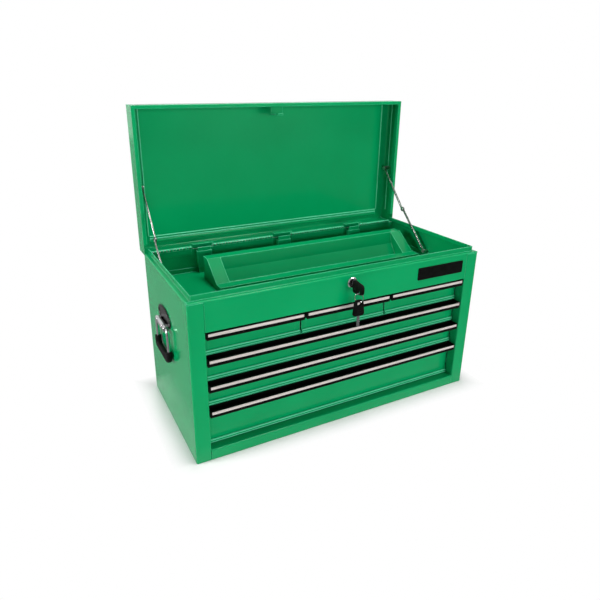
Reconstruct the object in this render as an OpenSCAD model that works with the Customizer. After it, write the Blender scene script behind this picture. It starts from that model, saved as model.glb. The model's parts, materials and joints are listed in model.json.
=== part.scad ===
/* [Case] */
// Outside width of the case
body_w = 660; // [630:5:700]
// Outside depth of the case
body_d = 307; // [297:1:330]
// Height of the case up to the ledge under the lid
body_h = 328; // [322:1:345]
// Height of the closed lid above the ledge
lid_h = 50; // [46:1:64]
// Thickness of the steel sheet
sheet = 1; // [0.8:0.1:1.2]
// Outside radius of a folded edge
fold_r = 2.5; // [2:0.25:3]
// Width of the ledge outside the rim
ledge_w = 9; // [8.5:0.5:11]
// Height of the rim above the ledge
rim_h = 10.5; // [8:0.5:11]

/* [Front] */
// Width of each front stile
stile_w = 30; // [28:1:34]
// Height of the rail below the drawers
rail_h = 21.5; // [18:0.5:26]
// Height of the panel above the drawers
fascia_h = 60.5; // [59:0.5:66]
// How far the drawer fronts stand behind the case front
recess = 23; // [21:0.5:26]
// Length of the name plate
plate_w = 123; // [100:1:130]
// Height of the name plate
plate_h = 27; // [20:1:32]

/* [Drawers] */
// Height of each of the three upper rows
row_h = 53.5; // [51:0.5:57]
// Gap between a drawer front and its bay
front_gap = 1.5; // [1:0.25:2.5]
// Width of the slide on each side of a drawer
slide_w = 11; // [10:0.5:13]
// Height of the bright strip on each pull
trim_h = 7; // [6:0.5:8]
// Height of the lip under the bright strip
lip_h = 4; // [3:0.5:5]

/* [Hinge and stays] */
// Radius of the hinge barrel
knuckle_r = 3; // [2.6:0.1:3.4]
// Radius of the hinge wire
pin_r = 1.5; // [1.2:0.1:1.7]
// Length of one hinge knuckle
knuckle_l = 7; // [6:0.5:12]
// Width of each hinge leaf
leaf_w = 18; // [14:0.5:22]
// Running clearance on a pivot, as a radius
run_gap = 0.06; // [0.03:0.01:0.09]
// Height of the stay pivot above the hinge on the open lid
stay_rise = 135.75; // [125:0.25:145]
// Width of a stay strap
stay_w = 11; // [9:0.5:13]

/* [Tray] */
// Length of the tote tray
tray_l = 513; // [420:1:520]
// Depth of the tote tray over its flanges
tray_d = 100; // [90:1:106]
// Height of the front of the tray
tray_front_h = 12.5; // [11:0.5:18]
// Height of the back of the tray
tray_back_h = 52; // [44:0.5:53]
// Width of the front and back flanges of the tray
tray_flange = 23; // [18:0.5:25]
// Width of the sloping flange at each end of the tray
tray_end = 30; // [20:1:40]

/* [Side handles] */
// Distance between the legs of a bail
bail_w = 84; // [76:1:96]
// Drop from the bail pivot to the grip
bail_drop = 64; // [54:1:72]
// Radius of the bail wire
bail_r = 3.5; // [3:0.1:3.8]
// Radius of the grip sleeve
grip_r = 6.4; // [5.6:0.1:6.6]
// Height of the bail pivot above the ground
bail_z = 226; // [214:1:236]

/* [Lock and keys] */
// Height of the lock below the ledge
lock_drop = 16.5; // [15:0.5:20]
// Radius of the lock bezel
bezel_r = 11; // [10:0.25:12.5]
// Mean radius of the key ring
ring_r = 8.5; // [8:0.25:10]

/* [Hidden] */
$fn = 64;

fit = 0.2;
fold_i = fold_r - sheet;
nest = 0.05 + 0.32 * fold_i;
trim_t = 1.2;
side_x = body_w / 2;
front_y = -body_d / 2;
back_y = body_d / 2;
open_x = side_x - stile_w;
open_top = body_h - fascia_h;
wall_top = body_h - fold_r;
panel_y = front_y + recess;
floor_z = open_top + 2.5;
floor_lip = 11;
base_lip = 14;
stub_y = 9;

lid_gap = 0.5;
lid_r = 5;
lid_bottom = body_h + lid_gap;
lid_top = body_h + lid_h;
hem_w = ledge_w - 1.5;
hem_lip = 12.5;
hem_end = back_y - 22;

axis_y = back_y - sheet - knuckle_r;
axis_z = body_h + lid_gap / 2;
leaf_t = 1.2;
leaf_gap = 0.4;
knuckle_gap = 0.3;
back_top = axis_z - knuckle_r - sheet - 0.25;
skirt_bottom = axis_z + knuckle_r + leaf_gap;

bay_w = 2 * open_x / 3;
support_t = 1;
support_w = 24;
support_in = 55;
bar_w = 30;
bar_depth = 3.4;
bar_play = 0.7;
bar_in = 13.5;
bar_over = 1.2;
bar_y = back_y - sheet - bar_in;
bar_top = axis_z + bar_over;
bar_bottom = rail_h + 8;
bar_t = 1.2;
bar_gap = 0.4;
hook_w = 16;
hook_t = 1.5;
hook_in = 5;
hook_rise = 11;
bar_xs = [-bay_w, 0, bay_w];
notch_half = bar_w / 2 + 10;
lug_reach = 8.5;
lug_drop = 6.5;
hinge_half = side_x - 12;
hinge_runs = [
  [-hinge_half, -bay_w - notch_half],
  [-bay_w + notch_half, -notch_half],
  [notch_half, bay_w - notch_half],
  [bay_w + notch_half, hinge_half]
];

box_back = bar_y - 6;
box_base = 3;
box_drop = 16;
rail_front = panel_y + 5;
rail_back = box_back - 8;
rail_t = 1.2;
rail_c = 22;
runner_c = 18;

stay_t = 2;
stud_r = 2.5;
head_r = 4.5;
stay_inset = 15.5;
stay_play = 0.5;
stay_y = 5;
stay_foot = 4;
stay_reach = 30.5;
stay_in = side_x - stay_inset;
stay_out = stay_in + stay_t + stay_play;
wall_in = side_x - sheet;
stay_case = [stay_y, floor_z + floor_lip + stay_foot];
stay_lid = [axis_y + stay_reach, axis_z + stay_rise];
stay_dir = (stay_lid - stay_case) / norm(stay_lid - stay_case);
stay_sag = 4;
stay_knee = (stay_case + stay_lid) / 2 + stay_sag * [stay_dir[1], -stay_dir[0]];

lock_z = body_h - lock_drop;
barrel_r = 9;
barrel_l = 20;
core_r = 6;
bezel_h = 4.5;
spigot_r = 3.5;
cam_t = 2.5;
cam_w = 10;
cam_reach = 16;
cam_y = front_y + barrel_l + 0.3;
strike_t = 1.2;
strike_y = cam_y + cam_t + 1.2;
strike_z = lid_bottom + hem_lip + 1.5;
strike_x0 = -cam_reach - 5;
strike_x1 = -barrel_r - 0.6;

blade_h = 7;
blade_t = 2.2;
bow_t = 3;
bow_r = 12;
bow_y = front_y - 26.5;
bow_z = lock_z - 4.5;
eye_r = 4.4;
eye_wall = 1.8;
wire_r = 0.8;
ring_play = 1.1;
eye_drop = 8;
eye_z = bow_z - eye_drop;
ring_top = eye_z - eye_r + wire_r + ring_play;
ring_z = ring_top - ring_r;
spare_eye_z = ring_z - ring_r - eye_r + wire_r + ring_play;
spare_z = spare_eye_z - eye_drop - 3;

handle_y = 8;
handle_rim = 3;
handle_w = bail_w + 2 * handle_rim;
handle_h = 42;
handle_rise = 14;
handle_t = 1.6;
lug_w = 12;
lug_r = 6;
elbow_r = 8;
foot_r = 10;
bail_x = side_x + 7.5;
lug_y = bail_w / 2 - elbow_r - lug_w / 2 - 2;

tray_side = 17.5;
tray_x = stay_in - tray_side - tray_l / 2;
tray_y = -1.5;
tray_z = floor_z + 0.3;
tray_lip = 6;

function row_of(n) = n <= 3 ? 0 : n - 3;
function row_top(r) = open_top - r * row_h;
function row_bottom(r) = r < 3 ? row_top(r + 1) : rail_h;
function mid_x(n) = n <= 3 ? (n - 2) * bay_w : 0;
function bay(n) = n <= 3 ? bay_w : 2 * open_x;
function box_half(n) = bay(n) / 2 - support_t / 2 - slide_w;
function box_z0(n) = row_bottom(row_of(n)) + box_base;
function box_z1(n) = row_top(row_of(n)) - box_drop;
function slide_z(n) = (box_z0(n) + box_z1(n)) / 2;

// Solid between two corners
module block(a, b) {
  translate(a) cube(b - a);
}

// Extrusion along X of a profile drawn in Y and Z
module along_x(x0, x1) {
  translate([x0, 0, 0]) rotate([90, 0, 90]) linear_extrude(x1 - x0) children();
}

// Extrusion along Y of a profile drawn in X and Z
module along_y(y0, y1) {
  translate([0, y1, 0]) rotate([90, 0, 0]) linear_extrude(y1 - y0) children();
}

module rod_x(x0, x1, at, r) {
  translate([x0, at[0], at[1]]) rotate([0, 90, 0]) cylinder(r = r, h = x1 - x0);
}

module rod_y(y0, y1, at, r) {
  translate([at[0], y1, at[1]]) rotate([90, 0, 0]) cylinder(r = r, h = y1 - y0);
}

module both_sides() {
  children();
  mirror([1, 0, 0]) children();
}

// Quarter of a bend in the sheet
module bend_2d() {
  intersection() {
    difference() {
      circle(fold_r);
      circle(fold_i);
    }
    square(fold_r);
  }
}

// Strip of folded sheet: each leg is a flat length and the turn that follows it
module strip_2d(legs, i = 0) {
  flat = legs[i][0];
  turn = legs[i][1];
  if (flat > 0) square([flat, sheet]);
  if (turn > 0) {
    translate([flat, fold_r]) rotate(-90) bend_2d();
    if (i + 1 < len(legs)) translate([flat + fold_r, fold_r]) rotate(90) strip_2d(legs, i + 1);
  }
  if (turn < 0) {
    translate([flat, -fold_i]) bend_2d();
    if (i + 1 < len(legs)) translate([flat + fold_i, -fold_i]) rotate(-90) strip_2d(legs, i + 1);
  }
}

// Rectangle with its two upper corners rounded
module arch_2d(w, h, r) {
  translate([-w / 2, 0]) square([w, h - r]);
  translate([-w / 2 + r, 0]) square([w - 2 * r, h]);
  for (s = [-1, 1]) translate([s * (w / 2 - r), h - r]) circle(r);
}

// Rectangle with four rounded corners, about the origin
module plate_2d(w, h, r) {
  square([w - 2 * r, h], center = true);
  square([w, h - 2 * r], center = true);
  for (sx = [-1, 1], sy = [-1, 1]) translate([sx * (w / 2 - r), sy * (h / 2 - r)]) circle(r);
}

// Swings a piece drawn on the closed lid up to the open lid
module raised() {
  translate([0, axis_y, axis_z]) rotate([-90, 0, 0]) translate([0, -axis_y, -axis_z]) children();
}

module wrap_2d() {
  legs = [
    [recess - fold_r, 90], [stile_w - 2 * fold_r, 90], [body_d - 2 * fold_r, 90],
    [body_w - 2 * fold_r, 90], [body_d - 2 * fold_r, 90], [stile_w - 2 * fold_r, 90],
    [recess - fold_r, 0]
  ];
  translate([open_x, front_y + recess]) rotate(-90) strip_2d(legs);
}

module side_ledge() {
  legs = [[1, 90], [ledge_w - fold_r - fold_i, -90], [rim_h - fold_i, 0]];
  along_y(front_y + ledge_w, axis_y - leaf_gap)
    translate([side_x, wall_top - 1]) rotate(90) strip_2d(legs);
}

module case_shell() {
  color("seagreen") difference() {
    union() {
      linear_extrude(wall_top) wrap_2d();
      both_sides() side_ledge();
    }
    block([-side_x - 1, axis_y - leaf_gap, back_top], [side_x + 1, back_y + 1, body_h + rim_h + 1]);
    block(
      [-open_x - fold_r, front_y + stub_y, open_top + sheet],
      [open_x + fold_r, panel_y + 1, wall_top + 1]
    );
  }
}

module fascia() {
  ledge = ledge_w - fold_i - fold_r;
  legs = [
    [rim_h - fold_i, -90], [ledge, 90], [fascia_h - 2 * fold_r, 90], [recess - fold_r, 0]
  ];
  color("seagreen") difference() {
    union() {
      along_x(-open_x, open_x)
        translate([front_y + ledge_w, body_h + rim_h]) rotate(-90) strip_2d(legs);
      both_sides() intersection() {
        along_x(open_x, side_x)
          translate([front_y + ledge_w, body_h]) rotate(180) strip_2d([[ledge_w - fold_r, 90]]);
        along_y(front_y, front_y + ledge_w)
          translate([0, wall_top - fold_r]) arch_2d(body_w, 2 * fold_r, fold_r);
      }
      both_sides() block(
        [open_x, front_y + ledge_w, body_h - sheet],
        [side_x - ledge_w - sheet, front_y + ledge_w + sheet, body_h + rim_h]
      );
    }
    rod_y(front_y - 1, front_y + sheet + 1, [0, lock_z], barrel_r + fit);
  }
}

module bottom_rail() {
  color("seagreen") along_x(-open_x, open_x)
    translate([panel_y, rail_h]) rotate(180)
      strip_2d([[recess - fold_r, 90], [rail_h - fold_r, 0]]);
}

module case_base() {
  x = wall_in - nest;
  y = back_y - sheet - nest;
  color("seagreen") difference() {
    block([-x, front_y + sheet + nest, 0], [x, y, base_lip]);
    block([-x + sheet, front_y, sheet], [x - sheet, y - sheet, base_lip + 1]);
    block([-x - 1, front_y, sheet], [x + 1, panel_y + fit, base_lip + 1]);
    both_sides() block(
      [open_x - fit, front_y, -1],
      [open_x + fold_r + fit, panel_y + fit, base_lip]
    );
  }
}

module compartment_floor() {
  x = wall_in - nest;
  y = back_y - sheet - nest;
  color("seagreen") difference() {
    block([-x, front_y + sheet + nest, floor_z - sheet], [x, y, floor_z + floor_lip]);
    block([-x + sheet, front_y, floor_z], [x - sheet, y - sheet, floor_z + floor_lip + 1]);
    block([-x - 1, front_y, floor_z], [x + 1, panel_y + fit, floor_z + floor_lip + 1]);
    both_sides() block(
      [open_x - fit, front_y, floor_z - sheet - 1],
      [open_x + fold_r + fit, front_y + stub_y + fit, floor_z + 1]
    );
    for (x = bar_xs) block(
      [x - bar_w / 2 - bar_play, bar_y - bar_play, floor_z - sheet - 1],
      [x + bar_w / 2 + bar_play, bar_y + bar_depth + bar_play, floor_z + 1]
    );
  }
}

// Four channels inside the case walls and the two walls between the top drawers
module slide_supports() {
  depth = wall_in - open_x + support_t / 2;
  web = 1.5;
  for (s = [-1, 1], y = [front_y + support_in, back_y - support_in]) color("dimgray")
    translate([s > 0 ? wall_in - depth : -wall_in, y - support_w / 2, base_lip + fit])
      difference() {
        cube([depth, support_w, floor_z - sheet - base_lip - fit]);
        translate([s > 0 ? web : -1, web, -1])
          cube([depth - web + 1, support_w - 2 * web, floor_z]);
      }
  for (s = [-1, 1]) color("seagreen") union() {
    block(
      [s * bay_w / 2 - support_t / 2, panel_y + 3, row_bottom(0) + 2],
      [s * bay_w / 2 + support_t / 2, rail_back + 4, floor_z - sheet]
    );
    block(
      [s * bay_w / 2 - 6, panel_y + 3, floor_z - 2 * sheet],
      [s * bay_w / 2 + 6, rail_back + 4, floor_z - sheet]
    );
  }
}

module channel_2d(depth, h, t) {
  difference() {
    translate([0, -h / 2]) square([depth, h]);
    translate([t, t - h / 2]) square([depth, h - 2 * t]);
  }
}

// Fixed outer rails, two for each drawer
module slide_rails() {
  color("silver") for (n = [1:6], s = [-1, 1])
    translate([mid_x(n) + s * (bay(n) - support_t) / 2, 0, slide_z(n)])
      mirror([s > 0 ? 1 : 0, 0, 0])
        along_y(rail_front, rail_back) channel_2d(slide_w - 4, rail_c, rail_t);
}

module runners(n) {
  color("gainsboro") for (s = [-1, 1])
    translate([mid_x(n) + s * box_half(n), 0, slide_z(n)])
      mirror([s > 0 ? 0 : 1, 0, 0])
        along_y(rail_front + 2, rail_back - 2) channel_2d(slide_w - 3, runner_c, rail_t);
}

// Covers over the locking bars on the back wall
module bar_guides() {
  inner = bar_w / 2 + bar_gap;
  outer = inner + bar_t;
  color("seagreen") for (x = bar_xs) difference() {
    block(
      [x - outer, bar_y - bar_gap - bar_t, floor_z + floor_lip + 2],
      [x + outer, back_y - sheet, back_top - 3]
    );
    block([x - inner, bar_y - bar_gap, floor_z], [x + inner, back_y, axis_z]);
    rod_y(bar_y - 3, bar_y, [x, floor_z + floor_lip + 9], 2);
  }
}

// Bars that drop over the back of every drawer as the lid closes
module lock_bars() {
  color("seagreen") for (x = bar_xs) {
    difference() {
      block([x - bar_w / 2, bar_y, bar_bottom], [x + bar_w / 2, bar_y + bar_depth, bar_top]);
      block(
        [x - bar_w / 2 + bar_t, bar_y + bar_t, bar_bottom - 1],
        [x + bar_w / 2 - bar_t, bar_y + bar_depth + 1, bar_top - bar_t]
      );
    }
    for (n = [2, 4, 5, 6]) {
      block(
        [x - hook_w / 2, box_back - sheet - hook_in, box_z1(n) + hook_rise - hook_t],
        [x + hook_w / 2, bar_y, box_z1(n) + hook_rise]
      );
      block(
        [x - hook_w / 2, box_back - sheet - hook_in, box_z1(n) + 1.5],
        [x + hook_w / 2, box_back - sheet - hook_in + hook_t, box_z1(n) + hook_rise]
      );
    }
  }
}

// One leaf of the long hinge, drawn below its axis
module hinge_leaf(own) {
  y1 = back_y - sheet;
  for (run = hinge_runs) {
    count = floor((run[1] - run[0]) / knuckle_l);
    pitch = (run[1] - run[0]) / count;
    difference() {
      union() {
        block(
          [run[0], y1 - leaf_t, axis_z - leaf_w],
          [run[1], y1, axis_z - knuckle_r - leaf_gap]
        );
        for (i = [own:2:count - 1]) {
          x0 = run[0] + i * pitch + knuckle_gap / 2;
          x1 = x0 + pitch - knuckle_gap;
          block([x0, y1 - leaf_t, axis_z - knuckle_r - 1], [x1, y1, axis_z]);
          rod_x(x0, x1, [axis_y, axis_z], knuckle_r);
        }
      }
      rod_x(run[0] - 1, run[1] + 1, [axis_y, axis_z], pin_r + run_gap);
    }
  }
}

module hinge_leaf_case() {
  color("seagreen") hinge_leaf(0);
}

module hinge_leaf_lid() {
  color("seagreen") raised()
    translate([0, 0, axis_z]) mirror([0, 0, 1]) translate([0, 0, -axis_z]) hinge_leaf(1);
}

module hinge_pin() {
  color("silver") for (run = hinge_runs)
    rod_x(run[0], run[1], [axis_y, axis_z], pin_r);
}

// Outside or inside of the lid pan
module lid_block(t) {
  h = lid_top - lid_bottom - t;
  intersection() {
    along_x(-side_x + t, side_x - t) translate([0, lid_bottom]) arch_2d(body_d - 2 * t, h, lid_r - t);
    along_y(front_y + t, back_y - t) translate([0, lid_bottom]) arch_2d(body_w - 2 * t, h, lid_r - t);
  }
}

// Return flange and lip around the front and sides of the lid
module lid_hem() {
  x = side_x - hem_w;
  y = front_y + hem_w;
  difference() {
    union() {
      block(
        [-side_x + sheet / 2, front_y + sheet / 2, lid_bottom],
        [side_x - sheet / 2, hem_end, lid_bottom + sheet]
      );
      block([-x - sheet, y - sheet, lid_bottom], [x + sheet, hem_end, lid_bottom + hem_lip]);
    }
    block([-x, y, lid_bottom - 1], [x, hem_end + 1, lid_bottom + hem_lip + 1]);
  }
}

module lid_shell() {
  color("seagreen") raised() union() {
    difference() {
      lid_block(0);
      difference() {
        lid_block(sheet);
        along_x(-side_x + 24, side_x - 24) translate([axis_y - 11, lid_top + 1.5]) circle(5);
      }
      block(
        [-wall_in, back_y - sheet - 1, lid_bottom - 1],
        [wall_in, back_y + 1, skirt_bottom]
      );
      block(
        [-side_x - 1, back_y - sheet - 1, lid_bottom - 1],
        [side_x + 1, back_y + 1, lid_bottom]
      );
    }
    lid_hem();
    for (x = bar_xs) {
      block(
        [x - notch_half + 1, axis_y - lug_reach, skirt_bottom + 0.3],
        [x + notch_half - 1, back_y - sheet / 2, skirt_bottom + 0.3 + sheet]
      );
      block(
        [x - notch_half + 1, axis_y - lug_reach, axis_z - lug_drop],
        [x + notch_half - 1, axis_y - lug_reach + sheet, skirt_bottom + 0.3 + sheet]
      );
    }
  }
}

// Bracket inside the lid that the lock cam catches
module lid_strike() {
  y0 = front_y + sheet;
  y1 = strike_y + strike_t;
  hook_z = lock_z - cam_w / 2 - 0.6;
  color("seagreen") raised() union() {
    block([strike_x0, y0, strike_z], [8, y1, strike_z + strike_t]);
    block([strike_x0, y0, strike_z], [8, y0 + strike_t, strike_z + 12]);
    block([strike_x0, strike_y, hook_z - strike_t], [strike_x1, y1, strike_z + strike_t]);
    block([strike_x0, cam_y + 0.5, hook_z - strike_t], [strike_x1, y1, hook_z]);
  }
}

module strap_2d(a, b, w, hole) {
  difference() {
    translate(a) rotate(atan2(b[1] - a[1], b[0] - a[0])) union() {
      translate([0, -w / 2]) square([norm(b - a), w]);
      circle(w / 2);
      translate([norm(b - a), 0]) circle(w / 2);
    }
    translate(a) circle(hole);
  }
}

module stay_lower() {
  color("dimgray") along_x(stay_out, stay_out + stay_t)
    strap_2d(stay_case, stay_knee, stay_w, stud_r + run_gap);
}

module stay_upper() {
  color("dimgray") union() {
    along_x(stay_in, stay_in + stay_t) strap_2d(stay_lid, stay_knee, stay_w, stud_r + run_gap);
    rod_x(stay_in - 1.6, stay_in + 0.5, stay_knee, head_r);
  }
}

module stay_studs_case() {
  color("silver") both_sides() union() {
    rod_x(stay_out + stay_t + fit, wall_in, stay_case, stay_foot - fit);
    rod_x(stay_out - 1, wall_in, stay_case, stud_r);
    rod_x(stay_out - 1.6, stay_out - fit, stay_case, head_r);
  }
}

module stay_studs_lid() {
  color("silver") both_sides() union() {
    rod_x(stay_in + stay_t + fit, wall_in, stay_lid, head_r + 0.5);
    rod_x(stay_in - 1, wall_in, stay_lid, stud_r);
    rod_x(stay_in - 1.8, stay_in - fit, stay_lid, head_r);
  }
}

module lock_housing() {
  at = [0, lock_z];
  color("silver") difference() {
    union() {
      rod_y(front_y - bezel_h + 2, front_y, at, bezel_r);
      translate([0, front_y - bezel_h, lock_z]) rotate([-90, 0, 0])
        cylinder(r1 = bezel_r - 1.6, r2 = bezel_r, h = 2);
      rod_y(front_y - 1, front_y + barrel_l, at, barrel_r);
    }
    rod_y(front_y - bezel_h - 1, front_y + barrel_l + 1, at, core_r + run_gap);
  }
}

module lock_nut() {
  color("silver") difference() {
    translate([0, front_y + sheet, lock_z]) rotate([-90, 0, 0]) cylinder(r = 14, h = 5, $fn = 6);
    rod_y(front_y, front_y + 8, [0, lock_z], barrel_r + 0.3);
  }
}

module lock_cylinder() {
  at = [0, lock_z];
  color("silver") difference() {
    union() {
      rod_y(front_y - bezel_h + 0.5, front_y + barrel_l, at, core_r);
      rod_y(front_y + barrel_l - 1, cam_y + cam_t, at, spigot_r);
      rod_y(cam_y + cam_t, cam_y + cam_t + 0.9, at, spigot_r + 0.8);
    }
    block(
      [-blade_t / 2 - fit, front_y - bezel_h - 1, lock_z - blade_h / 2 - fit],
      [blade_t / 2 + fit, front_y + barrel_l - 3, lock_z + blade_h / 2 + fit]
    );
  }
}

module lock_cam() {
  color("silver") translate([0, cam_y + cam_t, lock_z]) rotate([90, 0, 0])
    linear_extrude(cam_t) difference() {
      union() {
        circle(cam_w / 2 + 0.4);
        translate([-cam_w / 2, 0]) square([cam_w, cam_reach - 2]);
        translate([-cam_w / 2 + 2, 0]) square([cam_w - 4, cam_reach]);
      }
      circle(spigot_r + 0.3);
    }
}

// Blade of a key, from its tip at the origin along -Y
module blade(l) {
  difference() {
    block([-blade_t / 2, -l, -blade_h / 2], [blade_t / 2, 0, blade_h / 2]);
    for (i = [0:3]) translate([-blade_t, -5 - 3.2 * i, -blade_h / 2 - 1.6 + 0.35 * (i % 3)])
      rotate([45, 0, 0]) cube([2 * blade_t, 2, 2]);
    block([blade_t / 2 - 0.5, -l - 1, 0.4], [blade_t, 1, 1.6]);
  }
}

// Head of a key with its ring eye, in X and Y, thickness about the origin
module bow_2d(eye) {
  difference() {
    union() {
      circle(bow_r);
      translate([-eye_r - eye_wall, eye]) square([2 * (eye_r + eye_wall), -eye]);
      translate([0, eye]) circle(eye_r + eye_wall);
    }
    translate([0, eye]) circle(eye_r);
  }
}

module key() {
  color("gainsboro") translate([0, front_y + barrel_l - 3.5, lock_z]) blade(barrel_l + bow_r + 3);
}

module key_bow() {
  color("dimgray") difference() {
    translate([-bow_t / 2, bow_y, bow_z]) rotate([90, 0, 90]) linear_extrude(bow_t)
      bow_2d(-eye_drop);
    translate([0, front_y + barrel_l - 3.5, lock_z]) block(
      [-blade_t / 2, -barrel_l - bow_r - 3, -blade_h / 2],
      [blade_t / 2, 0, blade_h / 2]
    );
  }
}

module key_ring() {
  color("silver") translate([0, bow_y, ring_z]) rotate([90, 0, -45])
    rotate_extrude() translate([ring_r, 0]) circle(wire_r);
}

module spare_key() {
  color("gainsboro") translate([0, bow_y, spare_z - bow_r - 26]) rotate([-90, 0, 90]) blade(30);
}

module spare_bow() {
  color("dimgray") difference() {
    translate([0, bow_y + bow_t / 2, spare_z]) rotate([90, 0, 0]) linear_extrude(bow_t)
      rotate(180) bow_2d(spare_z - spare_eye_z);
    translate([0, bow_y, spare_z - bow_r - 26]) rotate([-90, 0, 90]) block(
      [-blade_t / 2, -30, -blade_h / 2],
      [blade_t / 2, 0, blade_h / 2]
    );
  }
}

// Bent strip of sheet through a row of points on its middle plane
module ribbon_2d(points) {
  for (i = [0:len(points) - 2]) {
    run = points[i + 1] - points[i];
    translate(points[i]) rotate(atan2(run[1], run[0])) {
      circle(sheet / 2);
      translate([0, -sheet / 2]) square([norm(run), sheet]);
    }
  }
  translate(points[len(points) - 1]) circle(sheet / 2);
}

module tote_tray() {
  x0 = tray_x - tray_l / 2;
  x1 = tray_x + tray_l / 2;
  y0 = tray_y + sheet / 2;
  y1 = tray_y + tray_d - sheet / 2;
  z0 = tray_z + sheet / 2;
  zf = tray_z + tray_front_h - sheet / 2;
  zb = tray_z + tray_back_h - sheet / 2;
  front = [tray_y + tray_flange, zf];
  back = [tray_y + tray_d - tray_flange, zb];
  pan = [
    front, [front[0] + 3, z0], [tray_y + 0.53 * tray_d, z0],
    [back[0] - 7, z0 + 0.46 * tray_back_h], back
  ];
  color("seagreen") union() {
    along_x(x0, x1) ribbon_2d([[y0, zf - tray_lip], [y0, zf], front]);
    along_x(x0, x1) ribbon_2d([back, [y1, zb], [y1, zb - tray_lip]]);
    along_x(x0 + tray_end - sheet, x1 - tray_end + sheet) ribbon_2d(pan);
    for (x = [x0, x1 - tray_end]) along_x(x, x + tray_end) ribbon_2d([front, back]);
    for (x = [x0 + tray_end - sheet, x1 - tray_end]) along_x(x, x + sheet) polygon(pan);
    for (x = [x0, x1 - sheet]) along_x(x, x + sheet)
      polygon([[y0, tray_z], [y0, zf], front, back, [y1, zb], [y1, tray_z]]);
  }
}

module handle_plates() {
  color("dimgray") both_sides() difference() {
    union() {
      translate([side_x, handle_y, bail_z + handle_rise]) rotate([90, 0, 90])
        linear_extrude(handle_t) plate_2d(handle_w, handle_h, 6);
      for (s = [-1, 1]) along_y(handle_y + s * lug_y - lug_w / 2, handle_y + s * lug_y + lug_w / 2) {
        translate([bail_x, bail_z]) circle(lug_r);
        translate([side_x + 0.5, bail_z - lug_r]) square([bail_x - side_x - 0.5, 2 * lug_r]);
      }
    }
    rod_y(handle_y - handle_w, handle_y + handle_w, [bail_x, bail_z], bail_r + run_gap);
  }
}

module elbow(r, wire) {
  rotate_extrude(angle = 90) translate([r, 0]) circle(wire);
}

// Half of the bail from its pivot pin down to the middle of the grip, in Y and Z
module bail_half(wire, from_pin) {
  half = bail_w / 2;
  if (from_pin) {
    rod_y(lug_y - lug_w / 2, half - elbow_r, [0, 0], wire);
    translate([0, half - elbow_r, -elbow_r]) rotate([90, 0, 90]) elbow(elbow_r, wire);
    translate([0, half, foot_r - bail_drop]) cylinder(r = wire, h = bail_drop - foot_r - elbow_r);
  } else {
    translate([0, half, foot_r - bail_drop]) cylinder(r = wire, h = 10);
  }
  translate([0, half - foot_r, foot_r - bail_drop]) rotate([0, 90, 0])
    elbow(foot_r, wire);
  rod_y(0, half - foot_r, [0, -bail_drop], wire);
}

module bail_rod(wire, from_pin) {
  translate([bail_x, handle_y, bail_z]) union() {
    bail_half(wire, from_pin);
    mirror([0, 1, 0]) bail_half(wire, from_pin);
  }
}

module bail() {
  color("silver") bail_rod(bail_r, true);
}

module grip() {
  color("dimgray") difference() {
    bail_rod(grip_r, false);
    bail_rod(bail_r + 0.3, true);
  }
}

module name_plate() {
  color("dimgray") translate([open_x - plate_w / 2 - 12, front_y, body_h - 28]) rotate([90, 0, 0])
    linear_extrude(1.2) plate_2d(plate_w, plate_h, 2.5);
}

// Drawer: front panel with its turned-up lower lip, and the open box behind it
module drawer(n) {
  r = row_of(n);
  x = mid_x(n);
  half = bay(n) / 2 - front_gap;
  b = box_half(n);
  z0 = row_bottom(r) + 1;
  z1 = row_top(r) - 1;
  color("seagreen") union() {
    block([x - half, panel_y, z0], [x + half, panel_y + sheet, z1]);
    block([x - half, panel_y - 3, z0], [x + half, panel_y + sheet, z0 + sheet]);
    block([x - half, panel_y - 3, z0], [x + half, panel_y - 3 + sheet, z0 + 6]);
    difference() {
      block([x - b, panel_y + sheet / 2, box_z0(n)], [x + b, box_back, box_z1(n)]);
      block(
        [x - b + sheet, panel_y + sheet, box_z0(n) + sheet],
        [x + b - sheet, box_back - sheet, box_z1(n) + 1]
      );
    }
  }
}

module pull_2d(solid) {
  top = -2.5;
  low = top - 0.5 - trim_h - lip_h;
  difference() {
    union() {
      translate([trim_t, low + 3]) square([recess - trim_t, top - low - 3]);
      translate([trim_t + 3, low]) square([recess - trim_t - 3, top - low]);
      translate([trim_t + 3, low + 3]) circle(3);
    }
    if (!solid) translate([trim_t + 2.2, low + 2]) square([recess - trim_t - 4.2, top - low]);
  }
}

// Finger pull along the top of a drawer front
module pull(n) {
  x = mid_x(n);
  half = bay(n) / 2 - front_gap;
  color("dimgray") translate([0, front_y, row_top(row_of(n))]) union() {
    along_x(x - half, x + half) pull_2d(false);
    along_x(x - half, x - half + 3) pull_2d(true);
    along_x(x + half - 3, x + half) pull_2d(true);
  }
}

module trim(n) {
  x = mid_x(n);
  half = bay(n) / 2 - front_gap - 3.5;
  color("silver") translate([0, front_y, row_top(row_of(n)) - 3 - trim_h])
    along_x(x - half, x + half) union() {
      translate([trim_t / 2, 0]) square([trim_t / 2, trim_h]);
      translate([0, trim_t / 2]) square([trim_t, trim_h - trim_t]);
      translate([trim_t / 2, trim_t / 2]) circle(trim_t / 2);
      translate([trim_t / 2, trim_h - trim_t / 2]) circle(trim_t / 2);
    }
}

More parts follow.
